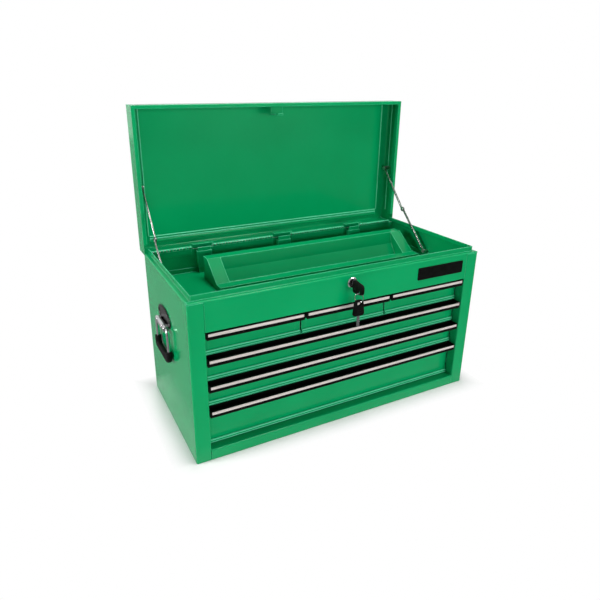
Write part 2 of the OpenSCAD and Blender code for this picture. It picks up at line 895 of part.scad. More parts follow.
case_shell();
fascia();
bottom_rail();
case_base();
compartment_floor();
slide_supports();
slide_rails();
bar_guides();
hinge_leaf_case();
hinge_pin();
lock_housing();
lock_nut();
stay_studs_case();
name_plate();
handle_plates();
lid_shell();
hinge_leaf_lid();
lid_strike();
stay_studs_lid();
mirror([1, 0, 0]) stay_upper();  // stay_upper_left
stay_upper();  // stay_upper_right
mirror([1, 0, 0]) stay_lower();  // stay_lower_left
stay_lower();  // stay_lower_right
lock_bars();
lock_cylinder();
lock_cam();
key();
key_bow();
key_ring();
spare_key();
spare_bow();
tote_tray();
mirror([1, 0, 0]) bail();  // bail_left
bail();  // bail_right
mirror([1, 0, 0]) grip();  // grip_left
grip();  // grip_right
drawer(1);  // drawer_1
drawer(2);  // drawer_2
drawer(3);  // drawer_3
drawer(4);  // drawer_4
drawer(5);  // drawer_5
drawer(6);  // drawer_6
pull(1);  // pull_1
pull(2);  // pull_2
pull(3);  // pull_3
pull(4);  // pull_4
pull(5);  // pull_5
pull(6);  // pull_6
trim(1);  // trim_1
trim(2);  // trim_2
trim(3);  // trim_3
trim(4);  // trim_4
trim(5);  // trim_5
trim(6);  // trim_6
runners(1);  // runners_1
runners(2);  // runners_2
runners(3);  // runners_3
runners(4);  // runners_4
runners(5);  // runners_5
runners(6);  // runners_6
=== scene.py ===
import json
import math
import bpy
import bmesh
from mathutils import Matrix, Vector


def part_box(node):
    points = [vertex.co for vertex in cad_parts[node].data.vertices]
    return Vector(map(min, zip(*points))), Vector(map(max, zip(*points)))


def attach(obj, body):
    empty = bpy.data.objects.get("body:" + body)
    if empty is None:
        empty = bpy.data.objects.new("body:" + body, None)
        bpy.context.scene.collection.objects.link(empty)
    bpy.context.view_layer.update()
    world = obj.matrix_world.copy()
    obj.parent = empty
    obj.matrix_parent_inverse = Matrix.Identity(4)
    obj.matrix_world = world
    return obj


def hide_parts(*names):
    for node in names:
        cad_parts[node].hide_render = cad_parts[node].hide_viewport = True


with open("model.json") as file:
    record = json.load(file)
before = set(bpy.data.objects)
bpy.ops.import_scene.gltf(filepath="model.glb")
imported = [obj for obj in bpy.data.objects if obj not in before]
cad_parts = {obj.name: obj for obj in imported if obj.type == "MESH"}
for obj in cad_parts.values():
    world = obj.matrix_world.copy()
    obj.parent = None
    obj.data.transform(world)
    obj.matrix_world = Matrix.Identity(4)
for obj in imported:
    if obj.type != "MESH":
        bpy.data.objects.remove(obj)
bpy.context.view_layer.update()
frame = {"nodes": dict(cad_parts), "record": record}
nodes = frame["nodes"]
scene = bpy.context.scene
scene.view_settings.view_transform = "Standard"
mm = 0.001


# camera, fitted to the corners of the chest
view = {"place": (-0.5457, -0.9410, 0.6773), "azimuth": -27.25, "elevation": 20.59, "roll": 0.31,
        "lens": 31.43, "sensor": 36, "shift": (0.0202, -0.0375)}


def placeCamera():
    data = bpy.data.cameras.new("chestCamera")
    data.sensor_width = view["sensor"]
    data.lens = view["lens"]
    data.shift_x, data.shift_y = view["shift"]
    az, el, roll = (math.radians(view[k]) for k in ("azimuth", "elevation", "roll"))
    back = Vector((math.sin(az) * math.cos(el), -math.cos(az) * math.cos(el), math.sin(el)))
    right = Vector((math.cos(az), math.sin(az), 0))
    up = back.cross(right)
    turnedRight = right * math.cos(roll) + up * math.sin(roll)
    turnedUp = up * math.cos(roll) - right * math.sin(roll)
    place = Matrix((turnedRight, turnedUp, back)).transposed().to_4x4()
    place.translation = view["place"]
    obj = bpy.data.objects.new("chestCamera", data)
    scene.collection.objects.link(obj)
    obj.matrix_world = place
    scene.camera = obj


placeCamera()
print("camera placed")


# small helpers for node trees
def newTree(name):
    mat = bpy.data.materials.new(name)
    mat.use_nodes = True
    tree = mat.node_tree
    return mat, tree, tree.nodes["Principled BSDF"]


def add(tree, kind, **sockets):
    n = tree.nodes.new(kind)
    for key, value in sockets.items():
        n.inputs[key].default_value = value
    return n


def objectCoords(tree, scale=(1, 1, 1)):
    coords = tree.nodes.new("ShaderNodeTexCoord")
    place = add(tree, "ShaderNodeMapping", Scale=scale)
    tree.links.new(coords.outputs["Object"], place.inputs["Vector"])
    return place.outputs["Vector"]


def noise(tree, vector, scale, detail=2.0, roughness=0.5):
    n = add(tree, "ShaderNodeTexNoise", Scale=scale, Detail=detail, Roughness=roughness)
    tree.links.new(vector, n.inputs["Vector"])
    return n.outputs["Fac"]


def cells(tree, vector, scale):
    n = add(tree, "ShaderNodeTexVoronoi", Scale=scale)
    tree.links.new(vector, n.inputs["Vector"])
    return n.outputs["Distance"]


def spread(tree, value, low, high, fromLow=0.3, fromHigh=0.7):
    # the range it starts from is where most of a noise lies
    n = tree.nodes.new("ShaderNodeMapRange")
    n.inputs["From Min"].default_value = fromLow
    n.inputs["From Max"].default_value = fromHigh
    n.inputs["To Min"].default_value = low
    n.inputs["To Max"].default_value = high
    tree.links.new(value, n.inputs["Value"])
    return n.outputs["Result"]


def math2(tree, operation, *values):
    n = tree.nodes.new("ShaderNodeMath")
    n.operation = operation
    for socket, value in zip(n.inputs, values):
        if isinstance(value, (int, float)):
            socket.default_value = value
        else:
            tree.links.new(value, socket)
    return n.outputs[0]


def blendColors(tree, fac, a, b):
    n = tree.nodes.new("ShaderNodeMix")
    n.data_type = "RGBA"
    # sockets 6 and 7 are the colours of this node, output 2 its result
    for socket, value in ((n.inputs[6], a), (n.inputs[7], b)):
        if isinstance(value, tuple):
            socket.default_value = (*value, 1)
        else:
            tree.links.new(value, socket)
    tree.links.new(fac, n.inputs[0])
    return n.outputs[2]


def axesOf(tree, vector):
    n = tree.nodes.new("ShaderNodeSeparateXYZ")
    tree.links.new(vector, n.inputs[0])
    return n.outputs


# sharp sheet edges look rounded, and a mask marks where the normal turns; paint uses it for a painted highlight
# along the edges
edges = {"samples": 4, "turned": (0.80, 0.995)}


def softEdge(tree, radius):
    edge = add(tree, "ShaderNodeBevel", Radius=radius)
    edge.samples = edges["samples"]
    return edge.outputs["Normal"]


def edgeMask(tree, normal):
    flat = tree.nodes.new("ShaderNodeNewGeometry")
    dot = tree.nodes.new("ShaderNodeVectorMath")
    dot.operation = "DOT_PRODUCT"
    tree.links.new(normal, dot.inputs[0])
    tree.links.new(flat.outputs["Normal"], dot.inputs[1])
    return spread(tree, dot.outputs["Value"], 1.0, 0.0, *edges["turned"])


def bump(tree, height, strength, distance, normal):
    n = add(tree, "ShaderNodeBump", Strength=strength, Distance=distance)
    tree.links.new(height, n.inputs["Height"])
    tree.links.new(normal, n.inputs["Normal"])
    return n.outputs["Normal"]


def dress(tree, bsdf, color, rough, normal):
    tree.links.new(color, bsdf.inputs["Base Color"])
    tree.links.new(rough, bsdf.inputs["Roughness"])
    tree.links.new(normal, bsdf.inputs["Normal"])


# powder coated sheet: orange peel, faint cloudiness, a pale edge colour that is a painted highlight strongest on
# upper edges, and where asked a painted highlight on upward faces
paint = {"color": (0.0012, 0.285, 0.094), "deep": (0.0006, 0.262, 0.084), "edge": (0.15, 0.92, 0.55),
         "topHighlight": (0.12, 0.68, 0.39), "rough": (0.10, 0.17), "gloss": 0.37, "edgeRadius": 2.2 * mm,
         "cloud": 7, "patch": 45, "breakupScale": 160, "breakupRange": (0.65, 1), "sideHighlight": 0.25,
         "litAbove": (-0.1, 0.6), "upwardLit": (0.2, 0.75), "peel": 520, "peelBump": (0.04, 0.2 * mm),
         "speck": 2400, "speckBump": (0.03, 0.05 * mm)}


def paintedSteel(name, topHighlight=None):
    mat, tree, bsdf = newTree(name)
    where = objectCoords(tree)
    cloud = spread(tree, noise(tree, where, paint["cloud"], detail=3), 0, 1)
    normal = softEdge(tree, paint["edgeRadius"])
    upright = axesOf(tree, normal)["Z"]
    litAbove = spread(tree, upright, paint["sideHighlight"], 1, *paint["litAbove"])  # painted highlight is strongest on upper edges
    highlightBreakup = spread(tree, noise(tree, where, paint["breakupScale"], detail=4, roughness=0.7), *paint["breakupRange"])
    edgeHighlight = math2(tree, "MULTIPLY", math2(tree, "MULTIPLY", edgeMask(tree, normal), highlightBreakup), litAbove)
    body = blendColors(tree, cloud, paint["deep"], paint["color"])
    # a paler colour on upward faces is a painted highlight
    if topHighlight:
        upwardLit = spread(tree, upright, *topHighlight, *paint["upwardLit"])
        body = blendColors(tree, math2(tree, "MULTIPLY", upwardLit, highlightBreakup), body, paint["topHighlight"])
    # the pale edge colour is a painted highlight along the sheet edges, broken up by noise
    color = blendColors(tree, edgeHighlight, body, paint["edge"])
    rough = spread(tree, noise(tree, where, paint["patch"], detail=4), *paint["rough"])
    peel = bump(tree, noise(tree, where, paint["peel"]), *paint["peelBump"], normal)
    speck = bump(tree, noise(tree, where, paint["speck"], detail=1), *paint["speckBump"], peel)
    dress(tree, bsdf, color, rough, speck)
    bsdf.inputs["Specular IOR Level"].default_value = paint["gloss"]
    return mat


# bright plating with faint smears
plate = {"chrome": (0.86, 0.86, 0.88), "smear": (0.66, 0.66, 0.68), "rough": (0.06, 0.16),
         "edgeRadius": 0.5 * mm, "smears": 60, "haze": 140, "ripple": 300, "rippleBump": (0.05, 0.1 * mm)}


def chromePlate(name):
    mat, tree, bsdf = newTree(name)
    where = objectCoords(tree)
    smear = spread(tree, noise(tree, where, plate["smears"], detail=4, roughness=0.6), 0, 1)
    color = blendColors(tree, smear, plate["smear"], plate["chrome"])
    rough = spread(tree, noise(tree, where, plate["haze"], detail=3), *plate["rough"])
    normal = softEdge(tree, plate["edgeRadius"])
    dress(tree, bsdf, color, rough, bump(tree, noise(tree, where, plate["ripple"]), *plate["rippleBump"], normal))
    bsdf.inputs["Metallic"].default_value = 1
    return mat


# zinc plated steel with a soft spangle
zinc = {"light": (0.66, 0.66, 0.64), "dark": (0.46, 0.46, 0.45), "rough": (0.26, 0.44), "edgeRadius": 0.4 * mm,
        "spangle": 180, "spangled": (0.1, 0.7), "haze": 220, "grain": 900, "grainBump": (0.08, 0.08 * mm)}


def zincSteel(name):
    mat, tree, bsdf = newTree(name)
    where = objectCoords(tree)
    spangle = spread(tree, cells(tree, where, zinc["spangle"]), 0, 1, *zinc["spangled"])
    color = blendColors(tree, spangle, zinc["light"], zinc["dark"])
    rough = spread(tree, noise(tree, where, zinc["haze"], detail=3), *zinc["rough"])
    normal = softEdge(tree, zinc["edgeRadius"])
    dress(tree, bsdf, color, rough, bump(tree, noise(tree, where, zinc["grain"]), *zinc["grainBump"], normal))
    bsdf.inputs["Metallic"].default_value = 1
    return mat


# plated steel of the handle plates and the stays: light, dark and a paler edge colour of each; the paler edge
# colour is a painted highlight along the edges
darkened = {"plates": ((0.022, 0.025, 0.022), (0.006, 0.007, 0.006), (0.30, 0.31, 0.30)),
            "stays": ((0.38, 0.40, 0.38), (0.16, 0.18, 0.16), (0.56, 0.57, 0.56)), "rough": (0.2, 0.34),
            "edgeRadius": 0.6 * mm, "patch": 70, "haze": 200, "grain": 700, "grainBump": (0.08, 0.08 * mm)}


def darkSteel(name, light, dark, edge):
    mat, tree, bsdf = newTree(name)
    where = objectCoords(tree)
    patch = spread(tree, noise(tree, where, darkened["patch"], detail=4, roughness=0.6), 0, 1)
    normal = softEdge(tree, darkened["edgeRadius"])
    # the paler edge colour blended in at the edges is a painted highlight
    color = blendColors(tree, edgeMask(tree, normal), blendColors(tree, patch, dark, light), edge)
    rough = spread(tree, noise(tree, where, darkened["haze"], detail=3), *darkened["rough"])
    grain = bump(tree, noise(tree, where, darkened["grain"]), *darkened["grainBump"], normal)
    dress(tree, bsdf, color, rough, grain)
    bsdf.inputs["Metallic"].default_value = 1
    return mat


# aluminium strip, brushed along the width of the chest
strip = {"light": (0.82, 0.75, 0.72), "dark": (0.66, 0.60, 0.57), "rough": (0.22, 0.36), "metal": 0.35,
         "edgeRadius": 0.5 * mm, "stretch": (6, 900, 900), "grain": 1.6, "grainBump": (0.12, 0.05 * mm)}


def brushedStrip(name):
    mat, tree, bsdf = newTree(name)
    grain = noise(tree, objectCoords(tree, strip["stretch"]), strip["grain"], detail=4, roughness=0.65)
    color = blendColors(tree, spread(tree, grain, 0, 1), strip["dark"], strip["light"])
    normal = softEdge(tree, strip["edgeRadius"])
    dress(tree, bsdf, color, spread(tree, grain, *strip["rough"]), bump(tree, grain, *strip["grainBump"], normal))
    bsdf.inputs["Metallic"].default_value = strip["metal"]
    return mat


# moulded black plastic with a fine spark-eroded grain
moulded = {"dark": (0.0025, 0.003, 0.0025), "light": (0.006, 0.0065, 0.006), "rough": (0.34, 0.48), "gloss": 0.07,
           "edgeRadius": 0.5 * mm, "mottle": 90, "haze": 240, "grain": 1500, "grainBump": (0.18, 0.1 * mm)}


def blackPlastic(name):
    mat, tree, bsdf = newTree(name)
    where = objectCoords(tree)
    mottle = spread(tree, noise(tree, where, moulded["mottle"], detail=3), 0, 1)
    color = blendColors(tree, mottle, moulded["dark"], moulded["light"])
    rough = spread(tree, noise(tree, where, moulded["haze"], detail=3), *moulded["rough"])
    normal = softEdge(tree, moulded["edgeRadius"])
    grain = bump(tree, noise(tree, where, moulded["grain"]), *moulded["grainBump"], normal)
    dress(tree, bsdf, color, rough, grain)
    bsdf.inputs["Specular IOR Level"].default_value = moulded["gloss"]
    return mat


# soft matt sleeve of the handles
sleeve = {"dark": (0.003, 0.003, 0.003), "light": (0.009, 0.009, 0.009), "rough": (0.42, 0.6), "gloss": 0.1,
          "edgeRadius": 0.8 * mm, "mottle": 120, "haze": 300, "grain": 900, "grainBump": (0.25, 0.15 * mm)}


def gripRubber(name):
    mat, tree, bsdf = newTree(name)
    where = objectCoords(tree)
    mottle = spread(tree, noise(tree, where, sleeve["mottle"], detail=3), 0, 1)
    color = blendColors(tree, mottle, sleeve["dark"], sleeve["light"])
    rough = spread(tree, noise(tree, where, sleeve["haze"], detail=3), *sleeve["rough"])
    normal = softEdge(tree, sleeve["edgeRadius"])
    dress(tree, bsdf, color, rough, bump(tree, cells(tree, where, sleeve["grain"]), *sleeve["grainBump"], normal))
    bsdf.inputs["Specular IOR Level"].default_value = sleeve["gloss"]
    return mat


finishes = {"green_paint": paintedSteel("greenPaint"), "chrome": chromePlate("chromePlate"),
            "zinc_steel": zincSteel("zincSteel"), "dark_steel": darkSteel("darkSteel", *darkened["plates"]),
            "bright_strip": brushedStrip("brushedStrip"),
            "black_plastic": blackPlastic("blackPlastic"), "grip_rubber": gripRubber("gripRubber")}

for part in frame["record"]["subparts"]:
    slots = nodes[part["node"]].data.materials
    slots.clear()
    slots.append(finishes[part["material_slot"]])
# hinge knuckles get a painted highlight on their upper side, the fold and hem beads a pale painted highlight along
# their whole length
knuckleHighlightPaint = paintedSteel("knuckleHighlightPaint", topHighlight=(0, 1))
foldHighlightPaint = paintedSteel("foldHighlightPaint", topHighlight=(0.8, 1.3))
stayPlating = darkSteel("stayPlating", *darkened["stays"])
print("finishes:", ", ".join(sorted(finishes)))


# a finished bmesh becomes a piece on one of the bodies
weld = 0.002 * mm


def piece(name, bm, body, slot, *replaced, sharp=35, finish=None):
    bmesh.ops.remove_doubles(bm, verts=bm.verts, dist=weld)
    bmesh.ops.recalc_face_normals(bm, faces=bm.faces)
    mesh = bpy.data.meshes.new(name)
    bm.to_mesh(mesh)
    bm.free()
    mesh.shade_smooth()
    mesh.set_sharp_from_angle(angle=math.radians(sharp))
    mesh.materials.append(finish or finishes[slot])
    obj = bpy.data.objects.new(name, mesh)
    scene.collection.objects.link(obj)
    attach(obj, body)
    if replaced:
        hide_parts(*replaced)


def linked(verts, kind):
    # edges or faces on some vertices, each once and in a steady order
    return list(dict.fromkeys(item for v in verts for item in getattr(v, kind)))


def bar(bm, low, high, radius, segments=3, chosen=None):
    # box between two corners, with all its edges rounded or those that are chosen
    low, high = Vector(low), Vector(high)
    made = bmesh.ops.create_cube(bm, size=1)["verts"]
    bmesh.ops.scale(bm, vec=high - low, verts=made)
    bmesh.ops.translate(bm, vec=(low + high) / 2, verts=made)
    rounded = [e for e in linked(made, "link_edges") if chosen is None or chosen(e)]
    bmesh.ops.bevel(bm, geom=rounded, offset=radius, segments=segments, profile=0.5,
                    affect="EDGES", material=-1, clamp_overlap=True)


def sleeveRing(bm, centre, along, bore, radius, length, rounded, steps=32):
    # a short tube: its section with rounded corners, spun round an axis
    across = Vector((0, 0, 1))
    known = set(bm.verts)
    section = bmesh.ops.create_grid(bm, x_segments=1, y_segments=1, size=0.5)["verts"]
    bmesh.ops.scale(bm, vec=(radius - bore, length, 1), verts=section)
    bmesh.ops.bevel(bm, geom=section, offset=rounded, segments=3, profile=0.5, affect="VERTICES", material=-1)
    fresh = [v for v in bm.verts if v not in known]
    bmesh.ops.delete(bm, geom=linked(fresh, "link_faces"), context="FACES_ONLY")
    place = Matrix((across, along, across.cross(along))).transposed().to_4x4()
    place.translation = Vector(centre) + across * (radius + bore) / 2
    bmesh.ops.transform(bm, matrix=place, verts=fresh)
    bmesh.ops.spin(bm, geom=fresh + linked(fresh, "link_edges"), cent=centre, axis=along, angle=math.tau,
                   steps=steps, use_merge=True)


def pull(bm, faces, along):
    # extrudes faces, and gives back the ones that moved
    grown = bmesh.ops.extrude_face_region(bm, geom=faces)["geom"]
    bmesh.ops.translate(bm, verts=[v for v in grown if isinstance(v, bmesh.types.BMVert)], vec=along)
    return [f for f in grown if isinstance(f, bmesh.types.BMFace)]


def roundBar(bm, start, end, radius, sides=12):
    # capped rod between two points
    start, end = Vector(start), Vector(end)
    ring = bmesh.ops.create_circle(bm, cap_ends=True, segments=sides, radius=radius)["verts"]
    turn = (end - start).to_track_quat("Z", "Y").to_matrix().to_4x4()
    bmesh.ops.transform(bm, matrix=Matrix.Translation(start) @ turn, verts=ring)
    pull(bm, [ring[0].link_faces[0]], end - start)


def flatBall(bm, radius, flat):
    # ball pressed flat along Y
    ball = bmesh.ops.create_uvsphere(bm, u_segments=20, v_segments=12, radius=radius)["verts"]
    bmesh.ops.scale(bm, vec=(1, flat, 1), verts=ball)
    return ball


def press(bm, faces, steps):
    # insets one inside the other, each with its rise
    for inset, rise in steps:
        bmesh.ops.inset_region(bm, faces=faces, thickness=inset, depth=rise)


squareOn = 0.99  # cosine


def frontFace(bm):
    # the largest face that looks to the front
    bm.normal_update()
    return max((f for f in bm.faces if -f.normal.y > squareOn), key=lambda f: f.calc_area())


def pivotOf(node):
    low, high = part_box(node)
    return Vector((0, (low.y + high.y) / 2, (low.z + high.z) / 2))


drawerBodies = ("top_drawer_left", "top_drawer_middle", "top_drawer_right",
                "second_row_drawer", "third_row_drawer", "bottom_drawer")

# bright strips on the pulls: crowned face, small round edges
strips = {"face": 5.4 * mm, "depth": 1.3 * mm, "round": 0.45 * mm, "crown": ((1.3 * mm, 0.25 * mm),),
          "below": 6.3 * mm, "lift": 0.2 * mm}


def crownedStrip(number, body):
    low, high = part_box("trim_%d" % number)
    middle = high.z - strips["below"] / 2 + strips["lift"]
    half = strips["face"] / 2
    bm = bmesh.new()
    bar(bm, (low.x, high.y - strips["depth"], middle - half), (high.x, high.y, middle + half), strips["round"])
    press(bm, [frontFace(bm)], strips["crown"])
    piece("crownedStrip.%d" % number, bm, body, "bright_strip", "trim_%d" % number, sharp=50)


# black lip of the pull under each strip, drawn deeper than the pull: partly the pull's real black lip, partly a
# painted shadow under the strip
lip = {"drop": 6.0 * mm, "depth": 3.0 * mm, "round": 0.9 * mm, "end": 0.6 * mm, "lap": 0.6 * mm}


def pullLipAndShadow(number, body):
    low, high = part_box("pull_%d" % number)
    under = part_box("trim_%d" % number)[0].z
    bm = bmesh.new()
    bar(bm, (low.x + lip["end"], low.y, under - lip["drop"]),
        (high.x - lip["end"], low.y + lip["depth"], under + lip["lap"]), lip["round"])
    piece("pullLipAndShadow.%d" % number, bm, body, "black_plastic")


# rolled hem along the foot of each drawer front: radius, setback and height of its two rolls
hem = {"rolls": ((1.7 * mm, 1.5 * mm, 5.4 * mm), (1.1 * mm, 0.4 * mm, 1.2 * mm)), "inset": 1.0 * mm}


def rolledHem(number, body):
    low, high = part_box("drawer_%d" % number)
    bm = bmesh.new()
    for radius, back, up in hem["rolls"]:
        y, z = low.y + back, low.z + up
        roundBar(bm, (low.x + hem["inset"], y, z), (high.x - hem["inset"], y, z), radius)
    # the rolls are painted pale along their length as a painted highlight line
    piece("rolledHem.%d" % number, bm, body, "green_paint", sharp=60, finish=foldHighlightPaint)


for number, body in enumerate(drawerBodies, 1):
    crownedStrip(number, body)
    pullLipAndShadow(number, body)
    rolledHem(number, body)
print("drawer fronts trimmed:", len(drawerBodies))


# bare plate with a bevelled edge and a raised rim, the field left plain
barePlate = {"corner": 2.5 * mm, "steps": ((0.4 * mm, 0.3 * mm), (1.5 * mm, 0), (0.5 * mm, -0.5 * mm))}


def plainBadge():
    low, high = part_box("name_plate")
    half = (high.y - low.y) / 2
    bm = bmesh.new()
    # only the edges from front to back are rounded
    bar(bm, low, high, barePlate["corner"], segments=5,
        chosen=lambda e: abs(e.verts[0].co.y - e.verts[1].co.y) > half)
    press(bm, [frontFace(bm)], barePlate["steps"])
    piece("plainBadge", bm, "case", "black_plastic", "name_plate", sharp=30)


plainBadge()


# moulded key bows: rounded, wider at the blade, an eye for the ring and a raised panel with two ribs
bow = {"length": 33 * mm, "wide": 27 * mm, "narrow": 19 * mm, "thick": 4.6 * mm, "corner": 5.5 * mm,
       "eye": 4.3 * mm, "rim": 0.9 * mm, "rimAngle": 1.2, "panel": (8 * mm, 5 * mm, 0.6 * mm),
       "panelRound": 0.5 * mm, "ribs": (-2 * mm, 2 * mm), "rib": (6 * mm, 0.6 * mm), "ribLift": 0.3 * mm,
       "ribSpan": (-0.5 * mm, 0.8 * mm), "ribRound": 0.3 * mm}


def mouldedBow(name, body, node, place, eyeAt, panelAt):
    # drawn flat with the blade end down, then placed
    bm = bmesh.new()
    quad = bmesh.ops.create_grid(bm, x_segments=1, y_segments=1, size=0.5)["verts"]
    bmesh.ops.scale(bm, vec=(bow["wide"], bow["length"], 1), verts=quad)
    top = [v for v in quad if v.co.y > 0]
    bmesh.ops.scale(bm, vec=(bow["narrow"] / bow["wide"], 1, 1), verts=top)
    bmesh.ops.bevel(bm, geom=quad, offset=bow["corner"], segments=5, profile=0.5, affect="VERTICES", material=-1)
    sides = len(bm.edges)
    bmesh.ops.delete(bm, geom=list(bm.faces), context="FACES_ONLY")
    hole = bmesh.ops.create_circle(bm, segments=sides, radius=bow["eye"])["verts"]
    bmesh.ops.translate(bm, verts=hole, vec=(*eyeAt, 0))
    bmesh.ops.bridge_loops(bm, edges=bm.edges[:])
    bmesh.ops.translate(bm, verts=bm.verts, vec=(0, 0, -bow["thick"] / 2))
    pull(bm, bm.faces[:], (0, 0, bow["thick"]))
    bmesh.ops.recalc_face_normals(bm, faces=bm.faces)
    rims = [e for e in bm.edges if e.calc_face_angle(0) > bow["rimAngle"]]
    bmesh.ops.bevel(bm, geom=rims, offset=bow["rim"], segments=3, profile=0.5, affect="EDGES",
                    material=-1, clamp_overlap=True)
    x, y = panelAt
    wide, tall, relief = bow["panel"]
    long, half = bow["rib"]
    for side in (-1, 1):
        z = side * bow["thick"] / 2
        bar(bm, (x - wide, y - tall, z - relief), (x + wide, y + tall, z + relief), bow["panelRound"])
        under, over = (z + side * bow["ribLift"] + end for end in bow["ribSpan"])
        for step in bow["ribs"]:
            bar(bm, (x - long, y + step - half, under), (x + long, y + step + half, over), bow["ribRound"])
    bmesh.ops.transform(bm, matrix=place, verts=bm.verts)
    piece(name, bm, body, "black_plastic", node, sharp=40)


# the spare hangs with its blade down, the other lies along the lock's axis
spareBow = {"rise": 0.8 * mm, "eyeAt": (0, bow["length"] / 2 - 7 * mm), "panelAt": (0, -6 * mm)}
lockBow = {"rise": 1.0 * mm, "out": 1.0 * mm, "eyeAt": (-7.5 * mm, 3.5 * mm), "panelAt": (2 * mm, -6 * mm)}


def keyBows():
    low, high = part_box("spare_bow")
    middle = (0, (low.y + high.y) / 2, high.z + spareBow["rise"] - bow["length"] / 2)
    hanging = Matrix.Translation(middle) @ Matrix.Rotation(math.radians(90), 4, "X")
    mouldedBow("spareKeyBow", "spare", "spare_bow", hanging, spareBow["eyeAt"], spareBow["panelAt"])
    low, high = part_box("key_bow")
    inLock = Matrix(((0, 0, 1, 0), (0, -1, 0, low.y - lockBow["out"] + bow["length"] / 2),
                     (1, 0, 0, high.z + lockBow["rise"] - bow["wide"] / 2), (0, 0, 0, 1)))
    mouldedBow("lockKeyBow", "key_in_lock", "key_bow", inLock, lockBow["eyeAt"], lockBow["panelAt"])


keyBows()
print("keys and badge done")


# pressed handle plates: a raised edge, a border and a dish
handlePlate = {"centre": (8 * mm, 240 * mm), "length": 90 * mm, "height": 41 * mm, "thick": 1.6 * mm,
               "sides": 48, "steps": ((0.8 * mm, 0.5 * mm), (3.5 * mm, 0), (1.0 * mm, -0.9 * mm))}


def pressedPlates():
    bm = bmesh.new()
    y, z = handlePlate["centre"]
    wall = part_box("case_shell")[1].x
    for side in (-1, 1):
        rim = bmesh.ops.create_circle(bm, cap_ends=True, segments=handlePlate["sides"], radius=0.5)["verts"]
        bmesh.ops.scale(bm, vec=(handlePlate["length"], handlePlate["height"], 1), verts=rim)
        turn = Matrix(((0, 0, side, 0), (1, 0, 0, 0), (0, 1, 0, 0), (0, 0, 0, 1)))
        bmesh.ops.transform(bm, matrix=turn, verts=rim)
        bmesh.ops.translate(bm, verts=rim, vec=(side * wall, y, z))
        outer = pull(bm, [rim[0].link_faces[0]], (side * handlePlate["thick"], 0, 0))
        bm.normal_update()
        if outer[0].normal.x * side < 0:
            bmesh.ops.reverse_faces(bm, faces=outer)
        press(bm, outer, handlePlate["steps"])
    piece("pressedPlates", bm, "case", "dark_steel", "handle_plates", sharp=40)


# rolled loops that hold the bails, each with a tail against the plate, and the plate's roll between them
loops = {"pivot": (337.5 * mm, 226 * mm), "bore": 3.7 * mm, "radius": 6.0 * mm, "wide": 12 * mm, "at": 26 * mm,
         "round": 0.9 * mm, "tailTo": 331 * mm, "tail": (3.9 * mm, 5.9 * mm), "tailRound": 0.6 * mm,
         "roll": 6.4 * mm, "rollLong": 36 * mm, "rollRound": 1.2 * mm}


def rolledLoops():
    bm = bmesh.new()
    x, z = loops["pivot"]
    y = handlePlate["centre"][0]
    along = Vector((0, 1, 0))
    half = loops["wide"] / 2
    under, over = (z + rise for rise in loops["tail"])
    for side in (-1, 1):
        near, far = sorted((side * x, side * loops["tailTo"]))
        for end in (-1, 1):
            at = y + end * loops["at"]
            sleeveRing(bm, (side * x, at, z), along, loops["bore"], loops["radius"], loops["wide"], loops["round"])
            bar(bm, (near, at - half, under), (far, at + half, over), loops["tailRound"])
        sleeveRing(bm, (side * x, y, z), along, loops["bore"], loops["roll"], loops["rollLong"],
                   loops["rollRound"])
    piece("rolledLoops", bm, "case", "chrome", sharp=45)


pressedPlates()
rolledLoops()
print("handles dressed")


# hinge leaves with knuckles rounded at their ends, drawn about the hinge axis; runs and pitch in mm
leaf = {"runs": ((-318, -225), (-175, -25), (25, 175), (225, 318)), "pitch": 7, "gap": 1.8 * mm,
        "barrel": 3.0 * mm, "bore": 1.6 * mm, "plate": 1.2 * mm, "clear": 0.4 * mm, "rounded": 0.6 * mm,
        "edge": 0.3 * mm, "webEnd": 0.4 * mm, "webFoot": 1 * mm}


def rolledLeaf(name, body, node, own, width, place):
    bm = bmesh.new()
    barrel = leaf["barrel"]
    inner = barrel - leaf["plate"]
    for start, end in leaf["runs"]:
        bar(bm, (start * mm, inner, -width), (end * mm, barrel, -barrel - leaf["clear"]), leaf["edge"], segments=2)
        count = int((end - start) / leaf["pitch"])
        pitch = (end - start) / count * mm
        half = pitch / 2 - leaf["gap"] / 2
        web = half - leaf["webEnd"]
        for i in range(own, count, 2):
            x = start * mm + (i + 0.5) * pitch
            sleeveRing(bm, (x, 0, 0), Vector((1, 0, 0)), leaf["bore"], barrel, 2 * half, leaf["rounded"], steps=20)
            bar(bm, (x - web, inner, -barrel - leaf["webFoot"]), (x + web, barrel, 0), leaf["edge"], segments=2)
    bmesh.ops.transform(bm, matrix=place, verts=bm.verts)
    # the knuckle tops are painted pale as a painted highlight
    piece(name, bm, body, "green_paint", node, sharp=40, finish=knuckleHighlightPaint)


hingeAxis = Matrix.Translation(pivotOf("hinge_pin"))
leafWide = hingeAxis.translation.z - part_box("hinge_leaf_case")[0].z
# the lid's leaf is the same drawing, swung over with the open lid
swung = Matrix(((1, 0, 0, 0), (0, 0, -1, 0), (0, -1, 0, 0), (0, 0, 0, 1)))
rolledLeaf("rolledLeafCase", "case", "hinge_leaf_case", 0, leafWide, hingeAxis)
rolledLeaf("rolledLeafLid", "lid", "hinge_leaf_lid", 1, leafWide, hingeAxis @ swung)
print("hinge leaves rolled")


# slim pressed links of the lid stays, with round eyes at the pivots and a rivet head at the knee
stay = {"wide": 6.0 * mm, "thick": 2.0 * mm, "round": 0.5 * mm, "eye": 5.5 * mm, "bore": 2.4 * mm,
        "lap": 1.5 * mm, "rib": 2.2 * mm, "ribRise": 0.4 * mm, "ribRound": 0.3 * mm, "head": 4.6 * mm,
        "headFlat": 0.5, "apart": 2.5 * mm}


